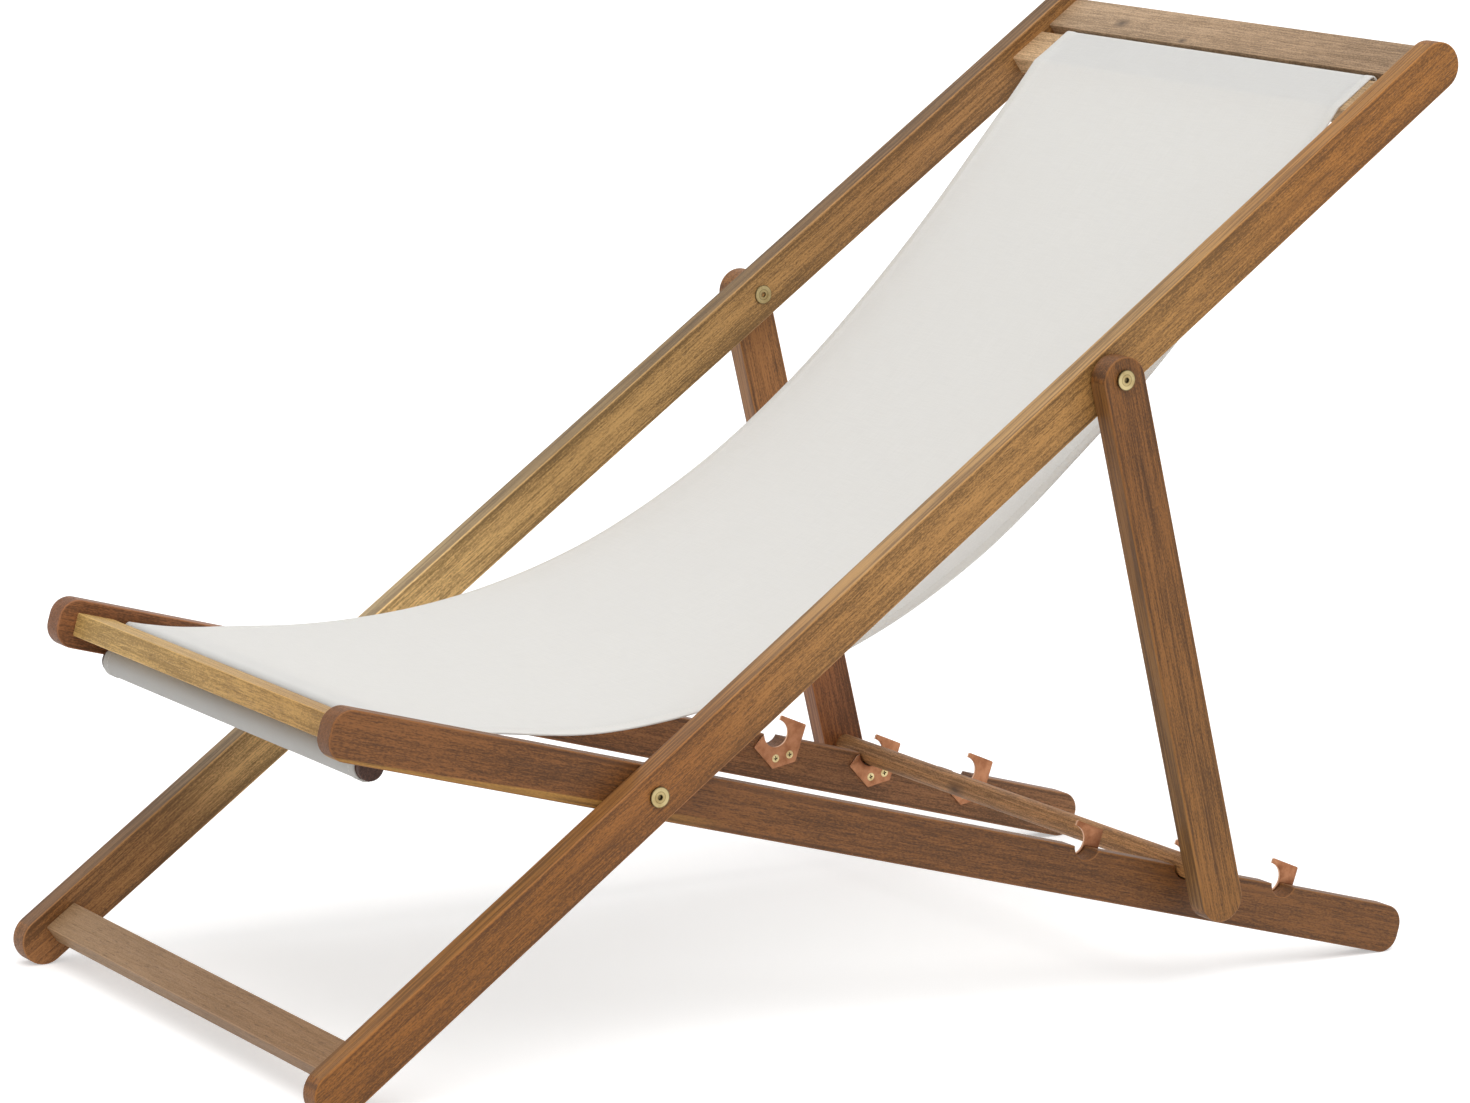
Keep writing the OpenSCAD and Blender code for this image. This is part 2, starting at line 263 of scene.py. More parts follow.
def wood(name, tones, seed, dark=0.5, light=1.5, streaks=1.0, rings=230, lines=0.45, half=None,
         narrow_shade=1.5, sap=None, knots=()):
    """Oiled hardwood. The mesh attribute grain holds (along, across, deep) in metres, end is 1 on
    end grain and edge is 1 on a rounded edge, which gets a painted highlight. tones are colours
    along the timber as (along, colour), half is half the timber's width, narrow_shade scales the
    painted light and shade on its narrow faces, sap is a pale strip as (along, across) where it
    ends, and knots are (along, across, deep, radius)."""
    n = Nodes(name)
    grain = n.attribute("grain").outputs["Vector"]
    along, across, deep = n.split(n.vector("ADD", grain, (seed * 3.7, seed * 0.61, seed * 0.37)))
    own_along, own_across, own_deep = n.split(grain)

    def stretched(k_along, k_across, detail=2.0, roughness=0.5, distortion=0.0):
        place = n.combine(n.math("MULTIPLY", along, k_along), n.math("MULTIPLY", across, k_across),
                          n.math("MULTIPLY", deep, k_across))
        return n.noise(place, 1, detail, roughness, distortion)

    base = tones[0][1]
    for (start, _), (stop, colour) in zip(tones, tones[1:]):
        base = n.mix(n.spread(own_along, start, stop), base, colour)

    # Growth rings, seen as long bands that wander along the timber
    drift = n.math("MULTIPLY", n.math("SUBTRACT", stretched(2.6, 9), 0.5), 0.045)
    ring_across = n.math("ADD", n.math("ADD", own_across, drift), 0.05 + 0.012 * math.sin(seed * 5))
    ring_deep = n.math("ADD", own_deep, 0.03 + 0.015 * math.cos(seed * 3))
    radius = n.vector("LENGTH", n.combine(ring_across, ring_deep, 0.0))
    turns = n.math("ADD", n.math("MULTIPLY", radius, rings), seed * 11.3)
    bands = n.noise_line(turns, 3, 0.6)
    lap = n.math("FRACT", n.math("MULTIPLY", turns, 0.62))
    line = n.spread(lap, 0.02, 0.2, 1, 0)
    line = n.math("MULTIPLY", line, n.spread(stretched(7, 60), 0.42, 0.62))

    # Fibre streaks, short flecks, open pores and slow patches
    fibre = stretched(9, 420, 4, 0.65, 0.6)
    fleck = stretched(60, 900, 2, 0.6)
    speck = stretched(420, 1100, 1)
    pores = n.spread(stretched(75, 900, 1), 0.6, 0.72)
    patch = stretched(6, 24, 3, 0.55)

    tone = n.math("MULTIPLY", n.math("SUBTRACT", bands, 0.5), 0.9 * streaks)
    tone = n.math("MULTIPLY_ADD", n.math("SUBTRACT", fibre, 0.5), 2.2 * streaks, tone)
    tone = n.math("MULTIPLY_ADD", n.math("SUBTRACT", fleck, 0.5), 1.3, tone)
    tone = n.math("MULTIPLY_ADD", n.math("SUBTRACT", speck, 0.5), 1.6, tone)
    tone = n.math("MULTIPLY_ADD", n.math("SUBTRACT", patch, 0.5), 1.1, tone)
    tone = n.spread(tone, -0.6, 0.6)

    def shade(k, red=1.0, blue=1.0):
        return n.vector("MULTIPLY", base, (k * red, k, k * blue))

    colours = n.mix(tone, shade(dark, 1.03, 0.9), shade(light, 0.99, 1.03))
    colours = n.mix(n.math("MULTIPLY", line, lines), colours, shade(0.42, 1.08, 0.9))
    colours = n.mix(n.math("MULTIPLY", pores, 0.6), colours, shade(0.4, 1.05, 0.9))
    if sap:
        rise = n.math("MULTIPLY_ADD", own_along, -0.02, n.math("MULTIPLY_ADD", drift, 0.3, own_across))
        pale = n.math("MULTIPLY", n.spread(rise, sap[1] - 0.0015, sap[1], 1, 0),
                      n.spread(own_along, sap[0] - 0.12, sap[0], 1, 0))
        sapwood = n.mix(tone, shade(3.0, 0.72, 0.97), shade(4.2, 0.72, 0.97))
        colours = n.mix(n.math("MULTIPLY", pale, 0.8), colours, sapwood)
    if half:
        # Painted light on the narrow faces: their tone, scaled by narrow_shade, stands in for the sheen
        # and shade they get. A darker band runs beside the long edges.
        off = n.math("ABSOLUTE", own_across)
        narrow = n.spread(off, half - 0.6 * MM, half - 0.1 * MM)
        worn = n.spread(stretched(7, 300, 4, 0.65), 0.42, 0.58)
        painted_narrow_light = n.mix(worn, shade(0.55 * narrow_shade, 0.84, 1.6),
                       shade(1.3 * narrow_shade, 0.84, 1.45))
        colours = n.mix(n.math("MULTIPLY", narrow, 0.75), colours, painted_narrow_light)
        seam = n.math("MULTIPLY", n.spread(off, half - 4.6 * MM, half - 3 * MM),
                      n.spread(off, half - 2.2 * MM, half - 1.4 * MM, 1, 0))
        seam = n.math("MULTIPLY", seam, n.spread(stretched(9, 5), 0.35, 0.6, 0.15, 0.6))
        colours = n.mix(seam, colours, shade(0.35, 1.05, 0.9))
    for at, side, depth, size in knots:
        off = n.vector("LENGTH", n.combine(
            n.math("MULTIPLY", n.math("SUBTRACT", own_along, at), 0.62),
            n.math("SUBTRACT", own_across, side), n.math("SUBTRACT", own_deep, depth)))
        off = n.math("MULTIPLY_ADD", n.math("SUBTRACT", fibre, 0.5), size * 0.5, off)
        rim = n.math("MULTIPLY", n.spread(off, size * 0.5, size * 1.3, 1, 0), 0.75)
        core = n.math("MULTIPLY", n.spread(off, size * 0.1, size * 0.55, 1, 0), 0.85)
        colours = n.mix(core, n.mix(rim, colours, shade(0.42)), shade(0.16))

    end = n.attribute("end").outputs["Fac"]
    edge = n.attribute("edge").outputs["Fac"]
    colours = n.mix(n.math("MULTIPLY", end, 0.35), colours, shade(0.72, 1.05, 1.05))
    # Painted highlight: the rounded edges are made paler in place of the light they catch
    colours = n.mix(n.math("MULTIPLY", edge, 0.65), colours, shade(2.0, 0.97, 1.1))
    n.put(n.shader.inputs["Base Color"], colours)
    n.put(n.shader.inputs["Roughness"], n.spread(fibre, 0.25, 0.75, 0.62, 0.48))
    n.shader.inputs["Specular IOR Level"].default_value = 0.4
    height = n.math("MULTIPLY_ADD", pores, -0.8, n.math("MULTIPLY", fibre, 0.6))
    n.put(n.shader.inputs["Normal"], n.bump(n.math("MULTIPLY_ADD", fleck, 0.4, height), 0.0002))
    return n.material


def plated_metal(name, colour, roughness, patina, rim=None, axis=None, rings=()):
    """Thin metal plating with fine scratches and duller patches, and painted shade in its crevices
    and recesses. rim is a colour painted on the faces turned along the chair in place of their
    light and shade, axis is a joint whose bolt faces are turned, and rings are (from, to, shade)
    bands around it in metres; the darkest of them are painted shade."""
    n = Nodes(name)
    place = n.tree.nodes.new("ShaderNodeTexCoord").outputs["Object"]
    cloudy = n.noise(place, 90, 3, 0.6)
    scratch = n.noise(n.vector("MULTIPLY", place, (4000, 500, 700)), 1, 2, 0.6)
    colours = n.mix(n.spread(cloudy, 0.35, 0.75), colour, patina)
    # Painted highlight and shade: faces turned along the chair, such as plate edges and the sides of
    # screw domes, take the rim colour
    if rim:
        colours = n.mix(n.spread(n.facing_x(), 0.35, 0.85, 1, 0), colours, rim)
    # Painted shade: darker in crevices and recesses, from ambient occlusion
    painted_crevice_shade = n.spread(n.open_air(1.5 * MM), 0.45, 0.95, 0.3, 1)
    colours = n.vector("MULTIPLY", colours, n.combine(painted_crevice_shade, painted_crevice_shade, painted_crevice_shade))
    if axis:
        off = n.vector("SUBTRACT", place, axis)
        radius = n.vector("LENGTH", n.vector("MULTIPLY", off, (0, 1, 1)))
        scratch = n.noise_line(n.math("MULTIPLY", radius, 9000), 1)
        # Some bands are painted shade: the socket's dark centre and the shadow gap round the head
        for low, high, k in rings:
            inside = n.math("MULTIPLY", n.spread(radius, low - RING_BLUR, low + RING_BLUR),
                            n.spread(radius, high - RING_BLUR, high + RING_BLUR, 1, 0))
            colours = n.mix(inside, colours, n.vector("MULTIPLY", colours, (k, k * 0.97, k * 0.92)))
    n.put(n.shader.inputs["Base Color"], colours)
    n.put(n.shader.inputs["Roughness"],
          n.spread(n.math("ADD", cloudy, scratch), 0.7, 1.3, roughness, roughness + 0.16))
    n.shader.inputs["Metallic"].default_value = 1
    n.put(n.shader.inputs["Normal"], n.bump(scratch, 0.00003))
    return n.material


def canvas(name, colour):
    """Plain woven sling cloth. The mesh attribute grain holds (along, across, edge distance)."""
    n = Nodes(name)
    pitch = 0.00075
    along, across, inset = n.split(n.attribute("grain").outputs["Vector"])
    turn = 2 * math.pi / pitch
    warp = n.math("SINE", n.math("MULTIPLY", across, turn))
    weft = n.math("SINE", n.math("MULTIPLY", along, turn))
    weave = n.math("MULTIPLY", warp, weft)

    def cloudy(k_along, k_across, deep, detail):
        place = n.combine(n.math("MULTIPLY", along, k_along), n.math("MULTIPLY", across, k_across), deep)
        return n.noise(place, 1, detail, 0.5)

    slub, slub_across = cloudy(40, 900, 0.0, 2), cloudy(900, 40, 7.0, 2)
    yarn = n.math("ADD", slub, slub_across)
    cloud = cloudy(6, 6, 0.0, 3)
    tone = n.math("ADD", n.math("MULTIPLY", weave, 0.1), n.spread(yarn, 0.6, 1.4, 0.2, 0.8))
    shade = n.mix(tone, scaled(colour, 0.95), scaled(colour, 1.03))
    shade = n.mix(n.spread(cloud, 0.3, 0.7, 0, 0.35), shade, scaled(colour, 0.975))
    # Painted shade: the sleeve and the short drop below the front board are darker, where the front
    # boards shade them
    shade = n.mix(n.spread(along, 0.09, 0.115, 1, 0), shade, scaled(colour, 0.72))
    # Row of stitches inside the folded side hem
    row = n.spread(n.math("ABSOLUTE", n.math("SUBTRACT", inset, 0.0085)), 0.0003, 0.0007, 1, 0)
    dash = n.spread(n.math("SINE", n.math("MULTIPLY", along, 2 * math.pi / 0.0032)), -0.5, -0.1)
    stitch = n.math("MULTIPLY", row, dash)
    shade = n.mix(n.math("MULTIPLY", row, 0.12), shade, scaled(colour, 0.8))
    shade = n.mix(n.math("MULTIPLY", stitch, 0.6), shade, scaled(colour, 1.08))
    n.put(n.shader.inputs["Base Color"], shade)
    n.shader.inputs["Roughness"].default_value = 0.9
    n.shader.inputs["Specular IOR Level"].default_value = 0.2
    n.shader.inputs["Subsurface Weight"].default_value = 0.5
    n.shader.inputs["Subsurface Radius"].default_value = (1, 0.97, 0.9)
    n.shader.inputs["Subsurface Scale"].default_value = 0.004
    n.shader.inputs["Sheen Weight"].default_value = 0.08
    n.shader.inputs["Sheen Roughness"].default_value = 0.5
    height = n.math("ADD", n.math("MULTIPLY", weave, 0.5), n.math("MULTIPLY", yarn, 0.6))
    height = n.math("ADD", height, n.math("MULTIPLY", stitch, 1.6))
    n.put(n.shader.inputs["Normal"], n.bump(height, 0.00012))
    return n.material


# ---- Timber ----
EDGE_R = 1.5 * MM       # rounded edges of the rails and legs
BOARD_R = 1.3 * MM      # rounded edges of the boards
BAR_END_R = 1 * MM      # rounded ends of the sling bars
ROD_SIDES = 40
ARC_STEP = math.radians(9)


def arc(centre, r, start, end):
    """Points on an arc, both ends included; it runs the way from start to end."""
    steps = max(2, math.ceil(abs(end - start) / ARC_STEP))
    turn = [start + (end - start) * i / steps for i in range(steps + 1)]
    return [(centre[0] + r * math.cos(a), centre[1] + r * math.sin(a)) for a in turn]


def add_object(name, bm, body, material):
    mesh = bpy.data.meshes.new(name)
    bm.to_mesh(mesh)
    bm.free()
    mesh.materials.append(material)
    mesh.shade_smooth()
    piece = bpy.data.objects.new(name, mesh)
    bpy.context.scene.collection.objects.link(piece)
    if body:
        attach(piece, body)
    return piece


def even_normals(piece):
    """Flat faces stay flat beside their rounded edges."""
    made = piece.modifiers.new("even_normals", "WEIGHTED_NORMAL")
    made.mode = "FACE_AREA"
    made.weight = 50


def prism(outline, low, high, edge_r):
    """Outline of (u, v) points extruded from h = low to high, its end edges rounded by edge_r.
    The vertices are (h, u, v)."""
    bm = bmesh.new()
    bottom = [bm.verts.new(Vector((low, u, v))) for u, v in outline]
    top = [bm.verts.new(Vector((high, u, v))) for u, v in outline]
    bm.faces.new(list(reversed(bottom)))
    bm.faces.new(top)
    count = len(outline)
    for i in range(count):
        j = (i + 1) % count
        bm.faces.new((bottom[i], bottom[j], top[j], top[i]))
    bmesh.ops.recalc_face_normals(bm, faces=bm.faces)
    if edge_r:
        rims = [e for e in bm.edges if e.verts[0].co.x == e.verts[1].co.x]
        bmesh.ops.bevel(bm, geom=rims, offset=edge_r, segments=4, profile=0.5, affect="EDGES",
                        offset_type="OFFSET", clamp_overlap=True)
    big = [f for f in bm.faces if len(f.verts) > 8]
    bmesh.ops.triangulate(bm, faces=big, ngon_method="EAR_CLIP")
    bm.normal_update()
    return bm


def write_grain(bm, order, end_axis, edge_parts, to_point):
    """Stores the wood attributes of a mesh in (h, u, v), then moves it to its place. order picks
    (along, across, deep) out of them, end_axis is the one that runs out of the end grain, and
    edge_parts gives the two parts of a normal that are both large on a rounded edge, where the
    wood gets a painted highlight."""
    grain = bm.verts.layers.float_vector.new("grain")
    end = bm.verts.layers.float.new("end")
    edge = bm.verts.layers.float.new("edge")
    for v in bm.verts:
        v[grain] = Vector([v.co[i] for i in order])
        v[end] = abs(v.normal[end_axis]) ** 2
        v[edge] = min(1, max(0, (min(edge_parts(v.normal)) - 0.25) * 3))
    for v in bm.verts:
        v.co = to_point(*v.co)
    bmesh.ops.recalc_face_normals(bm, faces=bm.faces)


def bar_outline(s0, s1, n0, n1, r, notches=(), notch_r=0, notch_n=0):
    """Side view of a rail from s0 to s1 with rounded ends and round notches in its top edge."""
    half = math.pi / 2
    points = arc((s0 + r, n0 + r), r, 2 * half, 3 * half) + arc((s1 - r, n0 + r), r, 3 * half, 4 * half)
    points += arc((s1 - r, n1 - r), r, 0, half)
    for s in sorted(notches, reverse=True):
        dip = math.asin((n1 - notch_n) / notch_r)
        points += arc((s, notch_n), notch_r, dip, -math.pi - dip)
    points += arc((s0 + r, n1 - r), r, half, 2 * half)
    kept = []
    for p in points:
        if not kept or math.dist(p, kept[-1]) > 1e-5:
            kept.append(p)
    return kept if math.dist(kept[0], kept[-1]) > 1e-5 else kept[:-1]


def make_bar(node, place, body, end_r, material, slot, **notches):
    low, high = place.box(node)
    outline = bar_outline(low[1], high[1], low[2], high[2], end_r, **notches)
    bm = prism(outline, low[0], high[0], EDGE_R)
    write_grain(bm, (1, 2, 0), 1, lambda d: (abs(d.x), math.hypot(d.y, d.z)), place.point)
    piece = add_object(node + "_timber", bm, body, material)
    even_normals(piece)
    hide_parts(node)
    return piece


def make_board(node, place, body, reach, material):
    """Board between two rails: its faces meet the rails and its tenons stay hidden in them."""
    low, high = place.box(node)
    s0, s1, n0, n1, r = low[1], high[1], low[2], high[2], BOARD_R
    quarter = math.pi / 2
    centres = ((s0 + r, n0 + r), (s1 - r, n0 + r), (s1 - r, n1 - r), (s0 + r, n1 - r))
    outline = []
    for corner, (s, n) in enumerate(centres):
        turn = [(corner + 2 + i / 4) * quarter for i in range(5)]
        outline += [(s + r * math.cos(a), n + r * math.sin(a)) for a in turn]
    bm = prism(outline, -reach, reach, 0)
    write_grain(bm, (0, 1, 2), 0, lambda d: (abs(d.y), abs(d.z)), place.point)
    piece = add_object(node + "_timber", bm, body, material)
    even_normals(piece)
    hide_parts(node)
    return piece


def make_rod(node, place, body, edge_r, material, reach=None):
    low, high = place.box(node)
    s, n = (low[1] + high[1]) / 2, (low[2] + high[2]) / 2
    r = (high[1] - low[1]) / 2
    turn = [2 * math.pi * i / ROD_SIDES for i in range(ROD_SIDES)]
    outline = [(s + r * math.cos(a), n + r * math.sin(a)) for a in turn]
    half = reach or high[0]
    bm = prism(outline, -half, half, edge_r)
    write_grain(bm, (0, 1, 2), 0, lambda d: (0, 0), place.point)
    piece = add_object(node + "_timber", bm, body, material)
    even_normals(piece)
    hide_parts(node)
    return piece


NEAR_BACK_TONES = ((-0.37, srgb(129, 80, 29)), (-0.12, srgb(130, 81, 30)), (0.0, srgb(134, 84, 36)),
                   (0.3, srgb(158, 115, 63)), (0.55, srgb(158, 115, 62)), (0.85, srgb(148, 96, 40)))
# Tones of the far back rail, partly painted light: the pale band about the crossing lifts the shade that
# falls on the rail's inner face there
FAR_BACK_TONES_AND_PAINTED_LIGHT = ((-0.37, srgb(140, 93, 50)), (-0.25, srgb(148, 103, 56)), (0.0, srgb(212, 174, 114)),
                  (0.3, srgb(165, 128, 76)), (0.75, srgb(147, 104, 57)))
SEAT_TONES = ((-0.29, srgb(116, 72, 33)), (0.1, srgb(110, 68, 30)), (0.8, srgb(110, 69, 30)))
FAR_SEAT_TONES = ((-0.29, srgb(130, 82, 46)), (0.2, srgb(134, 86, 47)), (0.8, srgb(134, 91, 56)))
PROP_TONES = ((0.0, srgb(117, 73, 29)), (0.45, srgb(126, 83, 36)))
FAR_PROP_TONES = ((0.0, srgb(138, 91, 44)), (0.2, srgb(136, 88, 46)), (0.4, srgb(141, 86, 44)))
ROD_TONES = ((-0.28, srgb(177, 129, 83)), (0.28, srgb(173, 123, 72)))
TOP_BOARD_TONES = ((-0.26, srgb(176, 147, 115)), (0.26, srgb(159, 129, 97)))
SLING_BOARD_TONES = ((-0.26, srgb(194, 160, 120)), (0.26, srgb(180, 148, 108)))
FOOT_BOARD_TONES = ((-0.26, srgb(163, 130, 95)), (0.26, srgb(146, 111, 76)))
FRONT_BOARD_TONES = ((-0.24, srgb(195, 158, 94)), (0.24, srgb(175, 134, 71)))
BAR_TONES = ((-0.23, srgb(72, 46, 36)), (0.23, srgb(78, 50, 38)))

back_half_width = (back_place.box("back_rail_left")[1][2] - back_place.box("back_rail_left")[0][2]) / 2
prop_half_width = (prop_place.box("prop_leg_left")[1][2] - prop_place.box("prop_leg_left")[0][2]) / 2
SEAT_END_R = 17 * MM
NOTCH_R = 12.8 * MM
HOOK_RISE = 23.5 * MM
HOOK_OFFSET = 5 * MM    # from the recess of a hook to the middle of its plate
TENON_IN = 1 * MM       # how far the boards and the rod run into the timber beside them
HOOKS = ("front", "middle", "rear")
notch_places = [seat_place.local(middle("hook_left_" + k)).y - HOOK_OFFSET for k in HOOKS]

make_bar("back_rail_right", back_place, "back_frame", back_half_width,
         wood("back_rail_right_wood", NEAR_BACK_TONES, 1.0, streaks=0.75, half=back_half_width),
         "rail_wood")
# The far rail's narrow faces are painted darker, as painted shade (narrow_shade 0.65)
make_bar("back_rail_left", back_place, "back_frame", back_half_width,
         wood("back_rail_left_wood", FAR_BACK_TONES_AND_PAINTED_LIGHT, 2.0, half=back_half_width, narrow_shade=0.65),
         "rail_wood")
for side, tones, seed in (("right", SEAT_TONES, 3.0), ("left", FAR_SEAT_TONES, 4.0)):
    make_bar("seat_rail_" + side, seat_place, "seat_frame", SEAT_END_R,
             wood("seat_rail_%s_wood" % side, tones, seed, streaks=0.6, half=back_half_width,
                  sap=(0.1, -0.0125) if side == "right" else None), "seat_wood",
             notches=notch_places, notch_r=NOTCH_R, notch_n=HOOK_RISE)
for side, tones, seed in (("right", PROP_TONES, 5.0), ("left", FAR_PROP_TONES, 6.0)):
    make_bar("prop_leg_" + side, prop_place, "prop_frame", prop_half_width,
             wood("prop_leg_%s_wood" % side, tones, seed, dark=0.45, streaks=1.2, rings=190, lines=0.65,
                  half=prop_half_width), "prop_wood")

back_reach = -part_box("back_rail_left")[1].x + TENON_IN
seat_reach = -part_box("seat_rail_left")[1].x + TENON_IN
prop_reach = -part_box("prop_leg_left")[1].x + TENON_IN
make_board("top_board", back_place, "back_frame", back_reach,
           wood("top_board_wood", TOP_BOARD_TONES, 7.0, streaks=0.7, lines=0.25,
                knots=((-0.16, 0.931, 0.009, 0.007), (-0.056, 0.92, 0.009, 0.004))))
make_board("sling_board", back_place, "back_frame", back_reach,
           wood("sling_board_wood", SLING_BOARD_TONES, 8.0, streaks=0.7))
make_board("foot_board", back_place, "back_frame", back_reach,
           wood("foot_board_wood", FOOT_BOARD_TONES, 9.0, dark=0.75, light=1.2, streaks=0.6,
                lines=0.2))
make_board("front_board", seat_place, "seat_frame", seat_reach,
           wood("front_board_wood", FRONT_BOARD_TONES, 10.0, dark=0.58, light=1.35, lines=0.2))
make_board("inner_board", seat_place, "seat_frame", seat_reach,
           wood("inner_board_wood", FRONT_BOARD_TONES, 11.0))
make_rod("prop_rod", prop_place, "prop_frame", 0,
         wood("prop_rod_wood", ROD_TONES, 12.0, streaks=1.2,
              knots=((-0.082, prop_place.local(middle("prop_rod")).y - 0.001, -0.0099, 0.009),)),
         reach=prop_reach)
bar_wood = wood("sling_bar_wood", BAR_TONES, 13.0)
make_rod("sling_bar_front", seat_place, "seat_frame", BAR_END_R, bar_wood)
make_rod("sling_bar_top", back_place, "back_frame", BAR_END_R, bar_wood)


# ---- Metal ----
def finish_node(node, material, bevel):
    """Gives a CAD node its finish and breaks its sharp edges."""
    piece = frame["nodes"][node]
    piece.data.materials.clear()
    piece.data.materials.append(material)
    weld = piece.modifiers.new("weld", "WELD")
    weld.merge_threshold = 0.00001
    soft = piece.modifiers.new("soft_edges", "BEVEL")
    soft.width = bevel
    soft.segments = 2
    soft.limit_method = "ANGLE"
    soft.angle_limit = math.radians(35)
    soft.harden_normals = True
    piece.data.shade_smooth()


# The copper's rim is a painted highlight on the hook plates' edges
copper = plated_metal("copper_plating", srgb(184, 130, 96), 0.42, srgb(158, 105, 74),
                      rim=srgb(226, 184, 154))
# The brass's rim is painted shade round the sides of the screw domes
brass = plated_metal("brass_plating", srgb(226, 208, 158), 0.28, srgb(196, 170, 118),
                     rim=srgb(74, 54, 34))
# Bands on the bolt and nut faces: a dark centre painted as the shade in a hex socket, turned rings, and
# a dark outer ring painted as the shadow gap round the head
HEAD_RINGS_AND_PAINTED_SHADOWS = ((0.0, 2.6 * MM, 0.4), (2.6 * MM, 4.4 * MM, 0.88), (4.4 * MM, 5 * MM, 0.55),
              (7.9 * MM, 9 * MM, 0.38))
turned = {name: plated_metal("turned_brass_" + name, srgb(196, 178, 132), 0.3, srgb(168, 146, 100),
                             axis=axis, rings=HEAD_RINGS_AND_PAINTED_SHADOWS)
          for name, axis in (("crossing", crossing), ("prop", prop_pivot))}
for side in ("left", "right"):
    for place_name in HOOKS:
        finish_node("hook_%s_%s" % (side, place_name), copper, 0.3 * MM)
    for pivot in ("crossing", "prop"):
        for part, bevel in (("bolt", 0.5 * MM), ("nut", 0.4 * MM), ("washer", 0.2 * MM)):
            finish_node("%s_%s_%s" % (pivot, part, side), turned[pivot], bevel)
finish_node("hook_screws", brass, 0.15 * MM)


# ---- Sling ----
CLOTH_T = 0.9 * MM
HEM_T = 0.5 * MM        # extra thickness of the folded side hems, on each face
HEM_W = 10 * MM
CLOTH_GAP = 0.3 * MM
TOP_SHIFT = 5 * MM      # the cloth sits off centre at the top
CURL = 4 * MM           # the free edges of the hanging cloth turn down
CURL_W = 48 * MM
SLING_CURVE = 0.65      # curve radius at the lowest point of the hanging cloth
# How far each side edge lies above that curve, as (share of its length, mm)
LEFT_EDGE = ((-0.04, 0), (0, 3), (0.07, 9), (0.2, 8.5), (0.46, 1.5), (0.62, 1), (0.8, 5),
             (0.94, 5), (1, 0))
RIGHT_EDGE = ((-0.04, 0), (0, 2), (0.08, 4), (0.17, -2), (0.5, -6), (0.6, -4), (0.7, 2.5),
              (0.94, 3.5), (1, 0))
HEM_TURN = 345          # degrees of cloth round a sling bar
HEM_STEPS = 28
FOLD_R = 3 * MM         # bend of the cloth over the edge of a slot
FOLD_TURNS = (0, 22.5, 45, 67.5, 90)
BOARD_STEPS = 8
HANG_STEPS = 110
INNER_COLUMNS = 40


def round_bar(to_yz, s, n, r, side):
    """Cloth round a sling bar at (s, n), from its end to the top of the bar. side is -1 where it
    goes round from the foot end and 1 from the head end."""
    turn = [math.radians(90 + side * HEM_TURN * (1 - i / HEM_STEPS)) for i in range(HEM_STEPS + 1)]
    return [to_yz(s + r * math.cos(a), n + r * math.sin(a)) for a in turn]


def sling_path():
    """Middle line of the cloth in the side view, from hem to hem, as (y, z) Vectors, and how far
    along the hanging part each point is, from 0 to 1, below 0 on the front boards."""
    def flattened(place):
        def to_yz(s, n):
            p = place.point(0, s, n)
            return Vector((p.y, p.z))
        return to_yz

    def bar_centre(place, node):
        low, high = place.box(node)
        return (low[1] + high[1]) / 2, (low[2] + high[2]) / 2, (high[1] - low[1]) / 2

    seat_point, back_point = flattened(seat_place), flattened(back_place)
    off = CLOTH_GAP + CLOTH_T / 2
    front_s, front_n, bar_r = bar_centre(seat_place, "sling_bar_front")
    top_s, top_n, _ = bar_centre(back_place, "sling_bar_top")
    r = bar_r + off
    inner_high = seat_place.box("inner_board")[1]
    board_low, board_high = back_place.box("sling_board")
    seat_top, board_top = inner_high[2] + off, board_high[2] + off
    bends = [math.radians(v) for v in FOLD_TURNS]

    # Up from the front bar, over the inner board
    before = round_bar(seat_point, front_s, front_n, r, -1)
    before += [seat_point(front_s, front_n + r + (seat_top - FOLD_R - front_n - r) * i / 4)
               for i in range(1, 4)]
    before += [seat_point(front_s + FOLD_R * (1 - math.cos(t)), seat_top - FOLD_R * (1 - math.sin(t)))
               for t in bends[:-1]]
    leave = inner_high[1] + CLOTH_GAP
    flat = [seat_point(front_s + FOLD_R + (leave - front_s - FOLD_R) * i / BOARD_STEPS, seat_top)
            for i in range(BOARD_STEPS)]

    # Free to the sling board, over it and down to the top bar
    end = back_point(board_low[1] - CLOTH_GAP, board_top)
    hang = hanging(seat_point(leave, seat_top), end, HANG_STEPS)
    after = [back_point(board_low[1] + (top_s - FOLD_R - board_low[1]) * i / BOARD_STEPS, board_top)
             for i in range(1, BOARD_STEPS + 1)]
    after += [back_point(top_s - FOLD_R * (1 - math.sin(t)), board_top - FOLD_R * (1 - math.cos(t)))
              for t in bends[1:]]
    after += [back_point(top_s, board_top - FOLD_R + (top_n + r - board_top + FOLD_R) * i / 4)
              for i in range(1, 4)]
    after += reversed(round_bar(back_point, top_s, top_n, r, 1))

    share = [-1.0] * len(before) + [0.05 * (i / BOARD_STEPS - 1) for i in range(BOARD_STEPS)]
    share += [i / HANG_STEPS for i in range(HANG_STEPS + 1)] + [1.0] * len(after)
    return before + flat + hang + after, share


def hanging(start, end, steps):
    """Catenary from start to end."""
    a = SLING_CURVE
    span, climb = end.x - start.x, end.y - start.y
    low = (start.x + end.x) / 2 - a * math.asinh(climb / (2 * a * math.sinh(span / (2 * a))))

    def height(y):
        return a * math.cosh((y - low) / a)

    places = [start.x + span * i / steps for i in range(steps + 1)]
    return [Vector((y, start.y + height(y) - height(start.x))) for y in places]


def lifted(stops, share):
    """Height of an edge over the middle line at each point, smoothed along it."""
    height = np.interp(share, *zip(*stops)) * MM
    for _ in range(8):
        height[1:-1] = (height[:-2] + 2 * height[1:-1] + height[2:]) / 4
    return height


